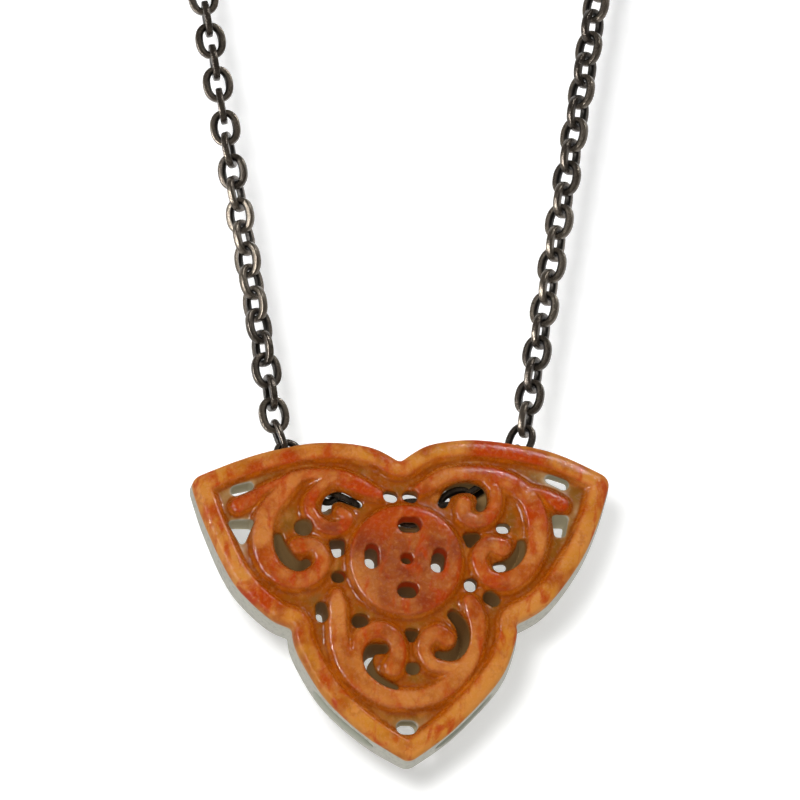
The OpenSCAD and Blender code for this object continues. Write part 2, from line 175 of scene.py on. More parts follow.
# columns: taper, lean, corners of x and z
PIERCED_CORNERS = [
    (0.01, LEVEL, [(-17.9, 4.4), (-14.95, 4.4), (-16.25, 1.5)]),
    (0.05, HALF_ASLANT, [(-7.8, 2.0), (-6.0, 2.2), (-6.1, 0.6), (-7.1, 0.1)]),
    (0.04, DOWNWARD, [(14.9, 5.6), (16.75, 5.6), (16.3, 3.3), (15.2, 3.25)]),
    (0.1, LEVEL, [(5.6, 3.1), (8.0, 3.1), (6.4, 1.3)]),
    (0.1, LEVEL, [(-0.2, -6.8), (1.6, -6.9), (0.6, -8.6)]),
]
CORNER_R = 0.35
# these only reach the bore, where the chain and the window's light show
# rows of x, z and width
BORE_SLOTS = [
    [(3.8, 6.1, 1.0), (4.3, 7.1, 1.0), (5.3, 7.7, 1.0), (6.5, 7.8, 1.0), (7.5, 7.4, 1.1),
     (7.8, 6.5, 1.0), (7.6, 5.8, 0.9)],
    [(-1.7, 6.75, 1.1), (-1.3, 6.65, 1.1)],
    [(0.3, 6.75, 1.1), (0.7, 6.65, 1.1)],
]

# %% [markdown]
# ## From the drawing to distances
#
# Polished stone has no sharp edge, and modelling it face by face would mean hundreds of bevels. So
# it is described by distances: for each point of a grid, how far it lies from the outline, from
# the nearest raised form and from the nearest hole. Distances are easy to round, to slope and to
# blend, which is just what grinding does.

# %% Smooth lines from short tables
OUTLINE_STEPS, PATH_STEPS, BEND_POINTS = 8, 4, 9


def smooth_path(rows, steps):
    """An open table with smooth rows filled in between its rows."""
    rows = np.array(rows, float)
    padded = np.vstack([rows[:1], rows, rows[-1:]])
    t = (np.arange(steps) / steps)[:, None]
    spans = []
    for a, b, c, d in zip(padded, padded[1:], padded[2:], padded[3:]):
        curve = 2 * b + (c - a) * t + (2 * a - 5 * b + 4 * c - d) * t**2
        spans.append(0.5 * (curve + (3 * b - a - 3 * c + d) * t**3))
    return np.vstack(spans + [rows[-1:]])


def unit(vector):
    """A vector's direction, of length one."""
    return vector / np.hypot(*vector)


def rounded_corner(before, after, radius):
    """Two sides that meet in a corner, cut short, and a bend of about a radius between them."""
    corner = before[-1]
    arms = [unit(before[-3] - corner), unit(after[2] - corner)]
    half_angle = acos(float(np.dot(*arms))) / 2
    reach = radius / tan(half_angle)
    before = before[np.hypot(*(before - corner).T) > reach]
    after = after[np.hypot(*(after - corner).T) > reach]
    start, end = (corner + arm * reach for arm in arms)
    t = np.linspace(0, 1, BEND_POINTS)[:, None]
    bend = (1 - t) ** 2 * start + 2 * t * (1 - t) * corner + t**2 * end
    return before, bend, after


def outline_path(steps):
    """The closed outline: six smooth sides with rounded corners between them."""
    rows = OUTLINE + OUTLINE[:1]
    corners = [i for i, row in enumerate(rows) if row[2]]
    sides = [smooth_path(rows[i : j + 1], steps)[:, :2] for i, j in zip(corners, corners[1:])]
    bends = []
    for i, side in enumerate(sides):
        following = (i + 1) % len(sides)
        kind = rows[corners[i + 1]][2]
        radius = POINT_R if kind == 1 else NOTCH_R
        sides[i], bend, sides[following] = rounded_corner(side, sides[following], radius)
        bends.append(bend)
    return np.vstack([part for side, bend in zip(sides, bends) for part in (side, bend)])


outline = outline_path(OUTLINE_STEPS)
DISC_Z = stone_high[2] - TOP_ABOVE_DISC
print("outline of", len(outline), "points; disc's centre at z =", round(DISC_Z, 2), "mm")

# %% [markdown]
# A band is measured from its middle line less half its width there, a closed line by its nearest
# edge with a sign for inside. Where two forms meet, a smooth minimum fills the corner between
# them as a carver's round tool would leave it.

# %% Distances on the drawing
FAR, TINY = 1e3, 1e-9


def nearest_on(span_start, span_end, u, w):
    """Share of the way along a straight span, and distance from it, for each point."""
    (au, aw), (bu, bw) = span_start, span_end
    du, dw = bu - au, bw - aw
    share = np.clip(((u - au) * du + (w - aw) * dw) / max(du * du + dw * dw, TINY), 0, 1)
    return share, np.hypot(u - au - share * du, w - aw - share * dw)


def band_distance(path, u, w):
    """Distance to a band whose width changes along its path, negative inside it."""
    best = np.full(u.shape, FAR, np.float32)
    for start, end in zip(path, path[1:]):
        share, away = nearest_on(start[:2], end[:2], u, w)
        half_width = (start[2] + share * (end[2] - start[2])) / 2
        best = np.minimum(best, away - half_width)
    return best


def closed_distance(corners, u, w):
    """Distance to a closed line, negative inside it."""
    best = np.full(u.shape, FAR, np.float32)
    inside = np.zeros(u.shape, bool)
    for (au, aw), (bu, bw) in zip(corners, np.roll(corners, -1, axis=0)):
        best = np.minimum(best, nearest_on((au, aw), (bu, bw), u, w)[1])
        if aw != bw:
            inside ^= ((aw > w) != (bw > w)) & (u < (bu - au) * (w - aw) / (bw - aw) + au)
    return np.where(inside, -best, best)


def smooth_min(a, b, blend):
    """The smaller of two distances, rounded over a width where they are alike."""
    near = np.clip(1 - np.abs(a - b) / blend, 0, 1)
    return np.minimum(a, b) - near * near * blend / 4


def smooth_max(a, b, blend):
    """The larger of two distances, rounded over a width where they are alike."""
    return -smooth_min(-a, -b, blend)


# %% Short slots and inset corners
def oval_rows(x, z, length, width, turn):
    """A short straight slot as the two rows of a band."""
    reach = (length - width) / 2
    du, dw = reach * cos(radians(turn)), reach * sin(radians(turn))
    return [(x - du, z - dw, width), (x + du, z + dw, width)]


def inset(corners, by):
    """A convex cornered plan, drawn clockwise, with all its sides moved inwards."""
    corners = np.array(corners, float)
    moved = []
    earlier, later = np.roll(corners, 1, axis=0), np.roll(corners, -1, axis=0)
    for before, corner, after in zip(earlier, corners, later):
        back, ahead = unit(before - corner), unit(after - corner)
        half_sine = sqrt((1 - float(np.dot(back, ahead))) / 2)
        moved.append(corner + unit(back + ahead) * by / half_sine)
    return np.array(moved)


# %% [markdown]
# The drawing becomes a few maps on one grid: the distances to the outline, to the raised forms
# and to each kind of hole. Holes with the same taper and lean share a map.

# %% The drawing's maps
STEP = 0.14
MARGIN = 0.8
u_line = np.arange(outline[:, 0].min() - MARGIN, outline[:, 0].max() + MARGIN, STEP)
w_line = np.arange(outline[:, 1].min() - MARGIN, outline[:, 1].max() + MARGIN, STEP)
u, w = np.meshgrid(u_line.astype(np.float32), w_line.astype(np.float32), indexing="ij")

edge = closed_distance(outline, u, w)
SCROLL_BLEND = 0.22
pierced = {}


def drawn_band(rows):
    """Distance to the band that a short table draws."""
    return band_distance(smooth_path(rows, PATH_STEPS), u, w)


def add_hole(taper, lean, distance):
    """Joins a hole to the map of the holes that have the same taper and lean."""
    pierced[taper, lean] = np.minimum(pierced.get((taper, lean), FAR), distance)


raised = smooth_min(-(edge + RIM_W), np.hypot(u, w) - DISC_R, SCROLL_BLEND)
for rows in SCROLLS.values():
    raised = smooth_min(raised, drawn_band(rows), SCROLL_BLEND)
for taper, lean, rows in PIERCED_SLOTS:
    add_hole(taper, lean, drawn_band(rows))
for *row, taper, lean in PIERCED_OVALS:
    add_hole(taper, lean, band_distance(np.array(oval_rows(*row)), u, w))
for taper, lean, corners in PIERCED_CORNERS:
    add_hole(taper, lean, closed_distance(inset(corners, CORNER_R), u, w) - CORNER_R)
to_bore = np.min([drawn_band(rows) for rows in BORE_SLOTS], axis=0)
print("drawing of", u.shape, "points, one each", STEP, "mm, with", len(pierced), "kinds of hole")

# %% [markdown]
# ## The carved front
#
# The front is a shallow dome, and the ground around the raised forms is sunk by the relief. Its
# walls lean between a soft shoulder and a soft foot, because they were ground with a small round
# wheel. The tops are slightly crowned, which catches the light along their edges. All of it is
# one height for each point of the drawing.

# %% Height of the front
SHOULDER_W = 0.28
WALL_W = 0.82
CROWN = 0.16
CROWN_W = 0.9
wall_share = np.clip((raised + SHOULDER_W) / WALL_W, 0, 1)
carved = wall_share**2 * (3 - 2 * wall_share)
near_side = np.maximum(raised, edge)
crown = np.clip(1 + near_side / CROWN_W, 0, 1) ** 2 * CROWN
dome = FRONT_Y + (u**2 + w**2) / (2 * DOME_R)
front = dome + RELIEF * carved + crown * (1 - carved)
slope_u, slope_w = np.gradient(front, STEP)
steepness = np.sqrt(1 + slope_u**2 + slope_w**2)
print("the front reaches from", round(float(front.min()), 2), "to", round(float(front.max()), 2))

# %% [markdown]
# ## The whole stone as a field
#
# The solid is now a few lines: behind the front, before the back, inside the outline, outside
# the holes. Each "and" is a smooth maximum, which rounds the edge. The bore for the chain is a
# bent tube, a window opens it to the back, and the slot through the lower petal is a flat tube.
# Towards the back the stone widens a little, and its holes' edges get crisper.

# %% Sizes of bore, window and slot
BORE_R, BORE_ARC_R, BORE_LOW, BORE_PAST = 1.85, 13.7, 5.7, 60.0
WINDOW_LEFT, WINDOW_RIGHT, WINDOW_RAISE = 36.0, 24.0, 1.0
HOLE_END_Y, HOLE_END_TAPER = 0.4, 1.5
TAPER_FROM = 2.0
SLOT_H, SLOT_T, SLOT_WALL, SLOT_DROP = 5.4, 2.0, 0.9, 15.4
FLARE = 0.45
RIM_ROUND, BACK_ROUND, HOLE_ROUND, CRISPER = 0.5, 0.5, 0.36, 0.6

bore_r = np.hypot(u + DISC_X, w - BORE_LOW - BORE_ARC_R)
bore_angle = np.degrees(np.arctan2(np.abs(u + DISC_X), BORE_LOW + BORE_ARC_R - w))
window_half = np.where(u + DISC_X > 0, WINDOW_RIGHT, WINDOW_LEFT)


# %% Holes and slot at one depth
def looked_up(grid, at_u, at_w):
    """A map's value at any place of the drawing, blended from the four points around it."""
    fu = np.clip((at_u - u_line[0]) / STEP, 0, len(u_line) - 1.001)
    fw = np.clip((at_w - w_line[0]) / STEP, 0, len(w_line) - 1.001)
    iu, iw = fu.astype(int), fw.astype(int)
    su, sw = fu - iu, fw - iw
    low = grid[iu, iw] * (1 - su) + grid[iu + 1, iw] * su
    high = grid[iu, iw + 1] * (1 - su) + grid[iu + 1, iw + 1] * su
    return low * (1 - sw) + high * sw


def holes_at(y):
    """Distance to the nearest hole at one depth, each with its taper and lean."""
    depth = max(y - FRONT_Y, 0)
    nearest = to_bore + max(y - HOLE_END_Y, 0) * HOLE_END_TAPER
    for (taper, lean), near in pierced.items():
        if lean != LEVEL:
            near = looked_up(near, u - lean[0] * depth, w - lean[1] * depth)
        nearest = np.minimum(nearest, near + taper * max(depth - TAPER_FROM, 0))
    return nearest


def slot_distance(y, up=w):
    """Distance to the flat slot through the lower petal."""
    slot_y = BACK_Y - SLOT_WALL - SLOT_T / 2
    reach = (SLOT_H - SLOT_T) / 2
    return np.hypot(np.maximum(np.abs(up + SLOT_DROP) - reach, 0), y - slot_y) - SLOT_T / 2


# %% The stone at one depth
def stone_slice(y):
    """Distance to the stone's surface at one depth, negative inside the stone."""
    depth_share = np.clip((y - FRONT_Y) / (BACK_Y - FRONT_Y), 0, 1)
    stone = smooth_max((front - y) / steepness, edge - FLARE * depth_share, RIM_ROUND)
    stone = smooth_max(stone, y - BACK_Y, BACK_ROUND)
    stone = smooth_max(stone, -holes_at(y), HOLE_ROUND * (1 - CRISPER * depth_share))
    bore = np.maximum(np.hypot(bore_r - BORE_ARC_R, y) - BORE_R, bore_angle - BORE_PAST)
    stone = smooth_max(stone, -bore, HOLE_ROUND)
    window = np.abs(bore_r - BORE_ARC_R + WINDOW_RAISE) - BORE_R
    window = np.maximum(window, (bore_angle - window_half) * radians(BORE_ARC_R))
    stone = smooth_max(stone, -np.maximum(window, -y), HOLE_ROUND)
    return smooth_max(stone, -slot_distance(y), HOLE_ROUND)


y_line = np.arange(FRONT_Y - MARGIN, BACK_Y + MARGIN, STEP)
field = np.stack([stone_slice(y) for y in y_line]).astype(np.float32)
print("field of", field.shape, "points")

# %% [markdown]
# ## From the field to a mesh
#
# A surface net puts one point in each cell that the surface crosses, at the mean of the places
# where it crosses the cell's edges, and joins the cells round each crossed edge with one quad.
# Remeshing would need a rough mesh first, and marching cubes would give uneven triangles.

# %% Points of a surface net
CELL_CORNERS = [(i, j, k) for i in (0, 1) for j in (0, 1) for k in (0, 1)]


def net_points(values):
    """Each crossed cell's number, on the grid of cells, and its point in steps of the grid."""
    inside = values < 0
    ni, nj, nk = np.array(values.shape) - 1
    full = np.zeros((ni, nj, nk), np.int8)
    for i, j, k in CELL_CORNERS:
        full += inside[i : i + ni, j : j + nj, k : k + nk]
    crossed = (full > 0) & (full < len(CELL_CORNERS))
    cells = np.argwhere(crossed)
    number = np.full(crossed.shape, -1, np.int64)
    number[crossed] = np.arange(len(cells))
    total, count = np.zeros((len(cells), 3)), np.zeros(len(cells))
    for a in CELL_CORNERS:
        for axis in (i for i in range(3) if a[i] == 0):
            b = tuple(1 if i == axis else a[i] for i in range(3))
            va = values[tuple((cells + a).T)].astype(float)
            vb = values[tuple((cells + b).T)].astype(float)
            meets = (va < 0) != (vb < 0)
            point = np.array([a] * len(cells), float)
            point[:, axis] = np.where(meets, va / np.where(meets, va - vb, 1), 0)
            total[meets] += point[meets]
            count[meets] += 1
    return number, cells + total / count[:, None]


# %% Quads of a surface net
def net_quads(inside, number):
    """One quad round each edge of the grid that the surface crosses, facing outwards."""
    quads = []
    for axis in range(3):
        first, second = [i for i in range(3) if i != axis]
        head, tail = [slice(1, -1)] * 3, [slice(1, -1)] * 3
        head[axis], tail[axis] = slice(None, -1), slice(1, None)
        low, high = inside[tuple(head)], inside[tuple(tail)]
        at = np.argwhere(low != high)
        rising = high[tuple(at.T)]
        at += 1
        at[:, axis] -= 1
        around = []
        for back_first, back_second in ((1, 1), (0, 1), (0, 0), (1, 0)):
            cell = at.copy()
            cell[:, first] -= back_first
            cell[:, second] -= back_second
            around.append(number[tuple(cell.T)])
        quad = np.stack(around, axis=1)
        flip = rising if axis != 1 else ~rising
        quad[flip] = quad[flip][:, ::-1]
        quads.append(quad)
    return np.vstack(quads)


number, points = net_points(field)
quads = net_quads(field < 0, number)
points = np.array([y_line[0], u_line[0], w_line[0]]) + STEP * points
# swapping two axes mirrors the quads, so they are turned round as well
points, quads = points[:, [1, 0, 2]], quads[:, [0, 3, 2, 1]]
print("surface net of", len(points), "points and", len(quads), "quads")

# %% [markdown]
# The net is finer than the flat back and the walls need. The Decimate modifier keeps small faces
# for the carving and spends few on the rest.

# %% The stone's mesh
def placed(name, data):
    """A new object in the scene."""
    thing = bpy.data.objects.new(name, data)
    scene.collection.objects.link(thing)
    return thing


def mesh_of(name, points, faces, material):
    """A smooth object from arrays of points in metres and of faces."""
    mesh = bpy.data.meshes.new(name)
    mesh.from_pydata(points, [], faces)
    mesh.update(calc_edges=True)
    mesh.validate()
    mesh.shade_smooth()
    mesh.materials.append(material)
    return placed(name, mesh)


def apply_modifiers(thing):
    """Makes an object's modifiers part of its mesh."""
    depsgraph = bpy.context.evaluated_depsgraph_get()
    mesh = bpy.data.meshes.new_from_object(thing.evaluated_get(depsgraph))
    thing.modifiers.clear()
    thing.data = mesh


jade = bpy.data.materials.new("russet jade")
stone_place = np.array([DISC_X, 0, DISC_Z])
stone = mesh_of("carved_stone", (points + stone_place) * MM, quads, jade)
STONE_TRIANGLES = 190_000
thin = stone.modifiers.new("fewer faces", "DECIMATE")
thin.ratio = min(1.0, STONE_TRIANGLES / (2 * len(quads)))
apply_modifiers(stone)
stone.data.shade_smooth()
print("carved stone of", sum(len(p.vertices) - 2 for p in stone.data.polygons), "triangles")

# %% [markdown]
# ## What the stone tells its finish
#
# The jade's colour depends on where a point lies: how deep below the pebble's old skin, how far
# in from the rim, on carved ground or in a hole. Shader nodes can't know that, but the drawing's
# maps do. So each point of the mesh looks itself up in them, and keeps the answers as named
# values.

# %% Values on the stone's points
def store(thing, name, values):
    """A named value on each point of a mesh."""
    attribute = thing.data.attributes.new(name, "FLOAT", "POINT")
    attribute.data.foreach_set("value", np.asarray(values, np.float32))


coordinates = np.zeros(len(stone.data.vertices) * 3, np.float32)
stone.data.vertices.foreach_get("co", coordinates)
beside, depth, above = (coordinates.reshape(-1, 3) / MM - stone_place).T
store(stone, "below_dome", depth - looked_up(dome, beside, above))
store(stone, "below_front", depth - looked_up(front, beside, above))
store(stone, "inside_edge", -looked_up(edge, beside, above))
store(stone, "carved", looked_up(carved, beside, above))
store(stone, "from_raised", looked_up(raised, beside, above))
store(stone, "from_centre", np.hypot(beside, above))
store(stone, "from_slot", slot_distance(depth, above))

# %% [markdown]
# The larger red places and the palest ones are this stone's own, so a table names them. Each is a
# soft round spot, and spots below zero keep the stone pale. Noise will break up their outlines.

# %% Red and pale places
# columns: x, z, radius, redness
STAINS = [
    (8.4, 11.2, 1.6, 1.0), (10.8, 10.8, 1.8, 1.0), (13.0, 10.2, 1.6, 0.7), (15.4, 6.1, 1.6, 1.0),
    (12.2, 4.7, 1.2, 0.6), (8.9, -1.8, 1.8, 0.5), (5.0, 1.2, 1.2, 0.6), (2.7, -4.7, 1.8, 0.5),
    (-3.2, 3.3, 2.2, 1.0), (0.8, 4.6, 1.6, 0.6), (-3.9, 6.9, 1.6, 0.8), (-19.4, 5.6, 1.4, 0.7),
    (-15.1, 9.6, 1.2, 0.4), (-11.6, 10.5, 1.2, 0.35), (-8.0, 10.9, 1.3, 0.3),
    (-15.1, -3.4, 1.4, 0.5), (-13.0, -4.6, 1.4, 0.35), (-10.4, -7.0, 1.4, 0.4),
    (-3.8, -8.4, 1.5, 0.5), (-13.6, -0.2, 1.4, 0.4), (-6.8, -15.0, 1.6, 0.4),
    (-20.4, 7.3, 1.2, -0.8), (-18.1, 0.6, 1.8, -0.8), (-14.4, 3.0, 1.8, -0.7),
    (-3.8, -4.0, 2.2, -0.9), (-4.6, -1.0, 1.6, -0.7), (19.2, 7.9, 1.4, -0.9),
    (17.2, 2.6, 2.2, -0.8), (12.6, -5.4, 2.6, -0.8), (13.3, 2.2, 1.5, -0.6),
    (8.2, -14.0, 3.0, -0.7), (-0.6, -14.3, 2.6, -0.6), (-7.1, -5.2, 1.4, -0.6),
    (6.5, -9.5, 1.6, -0.5), (-16.6, -1.8, 1.4, -0.6),
]
stain = sum(
    red * np.exp(-((beside - x) ** 2 + (above - z) ** 2) / radius**2)
    for x, z, radius, red in STAINS
)
store(stone, "stain", stain)
print("stains from", round(float(stain.min()), 2), "to", round(float(stain.max()), 2))

# %% [markdown]
# ## Writing finishes as expressions
#
# A finish is a small calculation about colour. Drawing it as a web of nodes hides that, so one
# class wraps a node's output and lets Python's operators add the Math nodes. Colours and vectors
# must not go through Math nodes, so they have methods of their own.

# %% A socket that can be calculated with
class Wire:
    """One output of a shader's nodes."""

    def __init__(self, tree, socket):
        self.tree = tree
        self.socket = socket

    def node(self, kind, settings=None, output=0, **sockets):
        """A new node: its settings first, then its sockets' values or links by name."""
        return add_node(self.tree, kind, settings, output, **sockets)

    def math(self, operation, first, second):
        return self.node("Math", {"operation": operation}, i0=first, i1=second)

    def __abs__(self):
        return self.math("ABSOLUTE", self, 0.0)

    def ramp(self, low, high):
        """0 below low, 1 above high, and smooth in between; high may be the lower one."""
        if low > high:
            return 1 - self.ramp(high, low)
        settings = {"interpolation_type": "SMOOTHSTEP"}
        return self.node("MapRange", settings, Value=self, From_Min=low, From_Max=high)

    def vector(self, operation, **sockets):
        """A Vector Math node that starts from this vector."""
        return self.node("VectorMath", {"operation": operation}, i0=self, **sockets)

    def mixed(self, other, share):
        """This colour turned into another, a wire or a code, by a share from 0 to 1."""
        other = rgba(other) if isinstance(other, str) else other
        settings = {"data_type": "RGBA"}
        return self.node("Mix", settings, 2, Factor=share, i6=self, i7=other)


# %% Its operators, and adding a node
# each with its reflected form, for a number before the wire
OPERATORS = {"add": "ADD", "sub": "SUBTRACT", "mul": "MULTIPLY", "truediv": "DIVIDE"}
for name, operation in OPERATORS.items():
    setattr(Wire, f"__{name}__", lambda a, b, o=operation: a.math(o, a, b))
    setattr(Wire, f"__r{name}__", lambda a, b, o=operation: a.math(o, b, a))


def add_node(tree, kind, settings=None, output=0, **sockets):
    """A node of a kind, such as Math. A socket is named, with _ for a space, or numbered as i0."""
    node = tree.nodes.new("ShaderNode" + kind)
    for name, value in (settings or {}).items():
        setattr(node, name, value)
    for name, value in sockets.items():
        by_number = name[0] == "i" and name[1:].isdigit()
        socket = node.inputs[int(name[1:])] if by_number else node.inputs[name.replace("_", " ")]
        if isinstance(value, Wire):
            tree.links.new(value.socket, socket)
        else:
            socket.default_value = value
    return None if output is None else Wire(tree, node.outputs[output])


# %% Helpers for finishes
def rgba(hex_code):
    """A colour as it looks on a screen, as the numbers of a socket."""
    channels = [int(hex_code[i : i + 2], 16) / 255 for i in (0, 2, 4)]
    linear = [((c + 0.055) / 1.055) ** 2.4 if c > 0.04 else c / 12.92 for c in channels]
    return *linear, 1


def layered(tree, code, *layers):
    """A colour with others laid over it; each is a wire or a code, and its share."""
    tint = add_node(tree, "RGB")
    tint.socket.default_value = rgba(code)
    for other, share in layers:
        tint = tint.mixed(other, share)
    return tint


def start_material(material):
    """The emptied tree of a material, and its own place on the object in millimetres."""
    material.use_nodes = True
    tree = material.node_tree
    tree.nodes.clear()
    place = add_node(tree, "TexCoord", output=3).vector("SCALE", Scale=1 / MM)
    return tree, place


def stored(tree, name):
    """A value that was stored on the mesh's points."""
    return add_node(tree, "Attribute", {"attribute_name": name}, 2)


def noise(place, scale, detail=3.0, shift=(0, 0, 0), roughness=0.5):
    """Soft noise from 0 to 1 with features of about 1 / scale millimetres."""
    moved = place.vector("ADD", i1=shift)
    amounts = {"Scale": scale, "Detail": detail, "Roughness": roughness}
    return place.node("TexNoise", Vector=moved, **amounts)


# %% [markdown]
# ## Russet jade
#
# A russet jade pebble is pale grey-green inside, under a skin that iron has stained orange and
# red. The carver keeps the skin on the front, so the raised forms are orange, the ground between
# them shows the last of the skin as ochre, and the side walls and the back are pale.
#
# The stain is cloudy. What it varies with is gathered first: the values that the stone's points
# hold, and noises of several sizes, from wide patches to fine grains.

# %% What the jade's tints vary with
def jade_guides(tree, place):
    """The stored values and the noises that the jade's tints follow."""
    names = ["below_dome", "below_front", "inside_edge", "carved", "from_raised"]
    names += ["from_centre", "from_slot", "stain"]
    g = SimpleNamespace(**{name: stored(tree, name) for name in names})
    g.rearward, g.up = (place.node("SeparateXYZ", None, i, Vector=place) for i in (1, 2))
    g.patches = noise(place, 0.17, 2.0, (5, 17, 40))
    g.clouds = noise(place, 0.3)
    g.mottle = noise(place, 0.6, 3.0, (60, 2, 11))
    g.grains = noise(place, 2.2, 6.0, (31, 7, 3), 0.6)
    upright = place.vector("MULTIPLY", i1=(1.0, 1.0, 0.45))
    g.streaks = place.node("TexNoise", Vector=upright, Scale=0.7, Detail=5.0, Distortion=0.5)
    g.veins = abs(noise(place, 0.4, 3.0, (9, 80, 21), 0.6) - 0.5).ramp(0.04, 0.0)
    g.on_disc = g.inside_edge.ramp(6.5, 9.5)
    g.from_low = g.up.ramp(DISC_Z - 14, DISC_Z + 2)
    g.at_tips = g.from_centre.ramp(12.0, 18.0)
    g.in_middle = g.from_centre.ramp(17.0, 13.0)
    return g


# %% [markdown]
# Each tint is laid over the last one by a share: a soft ramp of one of those values. The tops
# turn honey along the rim, red where the stain is strong, brown on the disc and peach in spots.
# The ground is ochre or greyish; painted shade makes the corner under the raised forms a deeper
# red.

# %% Tints of the skin
def raised_tint(tree, g):
    """The tops of rim, disc and scrolls."""
    honey = g.inside_edge.ramp(1.9, 1.2) * (g.clouds - g.stain * 0.3).ramp(0.3, 0.6)
    redness = g.patches * 0.6 + g.from_low * 0.08 + g.streaks * 0.45 + g.mottle * 0.1
    peach = (g.mottle * 0.7 + g.clouds * 0.4 - g.stain * 0.3).ramp(0.42, 0.74)
    return layered(
        tree, "983F0A",
        ("A64C0E", g.clouds.ramp(0.38, 0.62)),
        ("A65C18", g.up.ramp(DISC_Z - 4, DISC_Z - 12) * 0.6),
        ("C8862A", honey * 0.8),
        ("AE3A06", (redness + g.stain * 0.32).ramp(0.6, 0.9) * 0.85),
        ("843618", g.on_disc * (0.5 + g.from_low * 0.45)),
        ("CA823E", peach * (0.75 - g.on_disc * 0.35)),
        ("A84206", g.from_raised.ramp(-0.6, -0.1) * 0.4),
        ("AA3802", g.streaks.ramp(0.5, 0.68) * 0.85),
        ("8C3008", g.veins * g.mottle.ramp(0.45, 0.65) * 0.3),
        ("CA8640", g.grains.ramp(0.5, 0.75) * 0.4),
    )


def skin_tint(tree, g):
    """The whole skin: the tops, the carved walls under them and the ground between."""
    greyness = g.clouds * 0.6 + g.mottle * 0.4 + g.from_raised * 0.25 + g.at_tips * 0.15
    ground = layered(
        tree, "984A04",
        ("7A5016", greyness.ramp(0.55, 0.85) * 0.85),
        # painted shade: a deeper red in the corner under the raised forms
        ("883A02", g.from_raised.ramp(0.8, 0.3) * 0.75),
        ("BC7430", (g.mottle + g.streaks).ramp(1.0, 1.25) * 0.4),
    )
    wall = layered(
        tree, "B8600C",
        ("8E4204", (g.mottle * 0.6 + g.grains * 0.4).ramp(0.4, 0.62)),
        ("CC8030", g.clouds.ramp(0.5, 0.7) * 0.5),
    )
    skin = raised_tint(tree, g).mixed(wall, g.carved.ramp(0.04, 0.4) * 0.85)
    return skin.mixed(ground, g.carved.ramp(0.5, 0.95))


# %% [markdown]
# Under the skin the stone is pale, and the skin is thickest near the disc. The walls of the holes
# show skin and stone darkened by painted shade: greyish at the petals' points, brown near the
# disc, and red where they cut the disc's skin.
#
# Two finishes share the stone. The front is polished, lets light in a little way, and glints in
# patches, because its gloss isn't even. Sides, back and holes are dull. The light that a real
# stone carries through itself comes out there, and a faint glow stands in for it.

# %% Tint of the holes' walls
def shaded_hole_tint(tree, g, pale_share):
    """The walls of the holes, in the skin and below it, darkened by painted shade."""
    near_disc = g.from_centre.ramp(11.5, 8.5)
    below_skin = layered(tree, "9A927A", ("7E6440", g.in_middle), ("644626", near_disc))
    in_skin = layered(tree, "7E5220", ("963006", g.from_centre.ramp(7.5, 6.0)))
    return in_skin.mixed(below_skin, pale_share)


# %% The jade's finish
def finish_jade(material):
    """Orange skin over pale stone, polished in front and dull where it was sawn."""
    tree, place = start_material(material)
    g = jade_guides(tree, place)

    skin_t = 0.9 + g.in_middle * 0.5 + g.from_centre.ramp(9.0, 5.0) * 0.8
    pale_share = (g.below_dome / (skin_t + (g.clouds - 0.5) * 0.6)).ramp(0.85, 1.25)
    # painted shade: the pale stone turns a little darker and greener inside the slot
    grey_share, slot_shade_share = g.grains.ramp(0.45, 0.75), g.from_slot.ramp(0.25, 0.0)
    pale = layered(tree, "9C9A90", ("84827A", grey_share), ("8C8E82", slot_shade_share))
    skin_end = layered(tree, "A88850", (pale, pale_share.ramp(0.3, 1.0)))
    base = skin_tint(tree, g).mixed(skin_end, pale_share)

    in_hole = g.inside_edge.ramp(0.5, 0.9) * g.below_front.ramp(0.1, 0.5)
    in_hole = in_hole * g.rearward.ramp(BACK_Y - 0.04, BACK_Y - 0.4)
    # painted shade: the holes' walls are darker than the stone around them
    shaded_hole_wall = shaded_hole_tint(tree, g, pale_share)
    dull = base.mixed(shaded_hole_wall, in_hole)
    dimmer = shaded_hole_wall.mixed("000000", 0.35)
    glow = layered(tree, "000000", (pale, pale_share), (dimmer, in_hole))
    dull_share = 1 - (1 - pale_share) * (1 - in_hole) * (1 - g.inside_edge.ramp(0.5, 0.15))

    ripples, pits = noise(place, 1.0, 2.0, (3, 50, 3)), noise(place, 2.6, 2.0, (3, 3, 3))
    bumps = ripples + g.grains * 0.5 + pits * 0.6
    normal = place.node("Bump", Strength=0.8, Distance=0.08 * MM, Height=bumps)
    dull_spots = noise(place, 2.6, 1.0, (17, 3, 90)).ramp(0.44, 0.56)
    polished = place.node(
        "BsdfPrincipled",
        Base_Color=base, Roughness=dull_spots * 0.25 + 0.04, Normal=normal, IOR=1.35,
        Subsurface_Weight=0.3, Subsurface_Radius=(1.0, 0.4, 0.15), Subsurface_Scale=0.8 * MM,
    )
    sawn = place.node(
        "BsdfPrincipled",
        Base_Color=dull, Roughness=0.7, Normal=normal, IOR=1.2,
        Emission_Color=glow, Emission_Strength=0.4,
    )
    shader = place.node("MixShader", i0=dull_share, i1=polished, i2=sawn)
    place.node("OutputMaterial", None, None, Surface=shader)


finish_jade(jade)
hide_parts("jade_pendant")
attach(stone, "pendant")
print("jade finished with", len(jade.node_tree.nodes), "nodes")

# %% [markdown]
# ## The chain's line
#
# The chain hangs as a long loop. Inside the stone it follows the bent bore, then a short bend
# leads into two straight sides, and a round top lies over the nape. Links are counted from the
# lowest point to both sides. Each link is turned by a quarter from the one before, and both
# sides also twist a little on their way up, as a hanging chain does.

